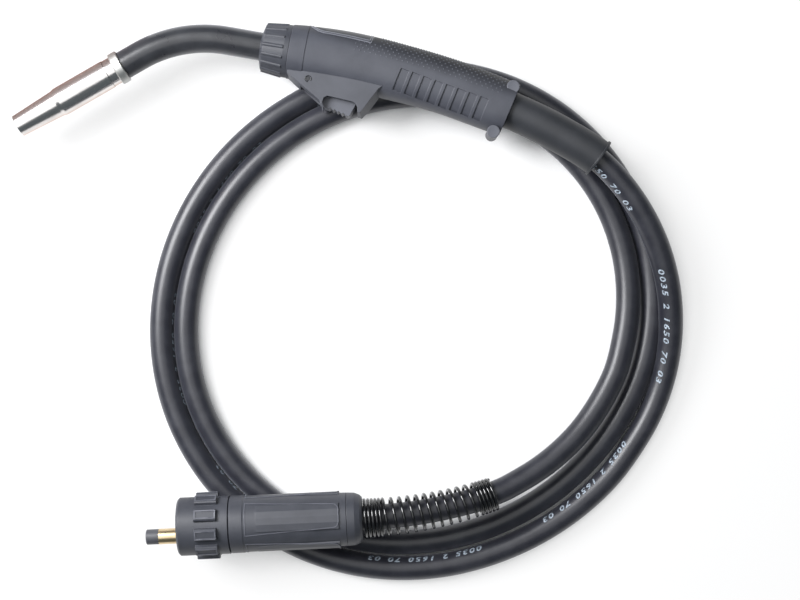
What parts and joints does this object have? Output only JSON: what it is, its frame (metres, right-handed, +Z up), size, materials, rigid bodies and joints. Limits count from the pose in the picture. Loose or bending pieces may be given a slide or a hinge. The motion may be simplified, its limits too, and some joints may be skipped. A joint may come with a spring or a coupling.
{
  "type": "mig welding torch",
  "caption": "Gas-cooled hand torch for wire welding with a bent neck, a sprung trigger, a coiled cable and a round screw-lock machine plug.",
  "frame": {"origin": "centre of the contact tip's front mouth, where the wire leaves", "axes": "+X along the torch from the nozzle towards the cable, +Z up with the torch lying on its side, +Y towards the back of the hand"},
  "size_m": [0.5492, 0.4566, 0.0696],
  "materials": {
    "chrome_nozzle": "polished",
    "copper_tip": "satin",
    "brass_inner": "machined",
    "ceramic_white": "glazed",
    "black_plastic": "fine texture",
    "satin_metal": "satin",
    "neck_black": "satin",
    "handle_plastic": "fine texture",
    "inlay_gloss": "gloss",
    "screw_steel": "plated",
    "guard_plastic": "fine texture",
    "wire_jacket": "smooth",
    "boot_rubber": "matte",
    "cable_rubber": "satin",
    "spring_black": "gloss",
    "plug_plastic": "fine texture",
    "brass_pin": "machined"
  },
  "bodies": {
    "torch": {"contact_tip": "copper_tip", "tip_holder": "brass_inner", "gas_diffuser": "ceramic_white", "nozzle_insulator": "black_plastic", "nozzle_sleeve": "satin_metal", "neck_ferrule": "satin_metal", "neck_tube": "brass_inner", "neck_cover": "neck_black", "handle_shell_top": "handle_plastic", "handle_shell_bottom": "handle_plastic", "handle_inlay": "inlay_gloss", "handle_screws": "screw_steel", "screw_caps": "black_plastic", "trigger_housing": "guard_plastic", "trigger_pin": "screw_steel", "switch_body": "black_plastic", "switch_leads": "wire_jacket", "neck_block": "brass_inner", "cable_conduit": "wire_jacket", "cable_crimp_front": "satin_metal", "cable_boot": "boot_rubber", "cable_lead": "cable_rubber", "cable_coil": "cable_rubber", "cable_tail": "cable_rubber", "bend_spring": "spring_black", "plug_housing": "plug_plastic", "plug_rear_cap": "plug_plastic", "plug_body": "brass_inner", "plug_face": "black_plastic", "plug_pin": "brass_pin", "pin_o_ring": "boot_rubber", "contact_barrel_a": "brass_pin", "contact_barrel_b": "brass_pin", "cable_crimp_rear": "satin_metal"},
    "nozzle": {"gas_nozzle": "chrome_nozzle"},
    "ring": {"ring_nut": "handle_plastic"},
    "trigger": {"trigger_lever": "black_plastic"},
    "plunger": {"switch_plunger": "black_plastic"},
    "lock": {"lock_nut": "plug_plastic"},
    "contact_a": {"contact_pin_a": "brass_pin"},
    "contact_b": {"contact_pin_b": "brass_pin"},
    "cap": {"pin_cap": "black_plastic"}
  },
  "joints": [
    {"name": "nozzle_pull", "type": "slide", "parent": "torch", "child": "nozzle", "axis": [-0.866, -0.5, 0], "range_m": [0, 0.03]},
    {"name": "ring_nut_turn", "type": "hinge", "parent": "torch", "child": "ring", "pos_m": [0.19341, 0.06081, 0], "axis": [0.9848, -0.1736, 0], "continuous": true},
    {"name": "trigger_pull", "type": "hinge", "parent": "torch", "child": "trigger", "pos_m": [0.23001, 0.03311, 0], "axis": [0, 0, 1], "range_deg": [0, 5], "stiffness_Nm_per_rad": 0.8, "springref_deg": -5.73},
    {"name": "plunger_press", "type": "slide", "parent": "torch", "child": "plunger", "axis": [0, 1, 0], "range_m": [0, 0.00197]},
    {"name": "lock_nut_turn", "type": "hinge", "parent": "torch", "child": "lock", "pos_m": [0.12551, -0.32629, 0.004], "axis": [0.999, 0.0454, 0], "continuous": true},
    {"name": "contact_a_press", "type": "slide", "parent": "torch", "child": "contact_a", "axis": [0.999, 0.0454, 0], "range_m": [0, 0.003], "stiffness_N_per_m": 600, "springref_m": -0.002},
    {"name": "contact_b_press", "type": "slide", "parent": "torch", "child": "contact_b", "axis": [0.999, 0.0454, 0], "range_m": [0, 0.003], "stiffness_N_per_m": 600, "springref_m": -0.002},
    {"name": "pin_cap_pull", "type": "slide", "parent": "torch", "child": "cap", "axis": [-0.999, -0.0454, 0], "range_m": [0, 0.012]}
  ],
  "couplings": [
    {"joint": "plunger_press", "follows": "trigger_pull", "m_per_rad": 0.0225}
  ]
}
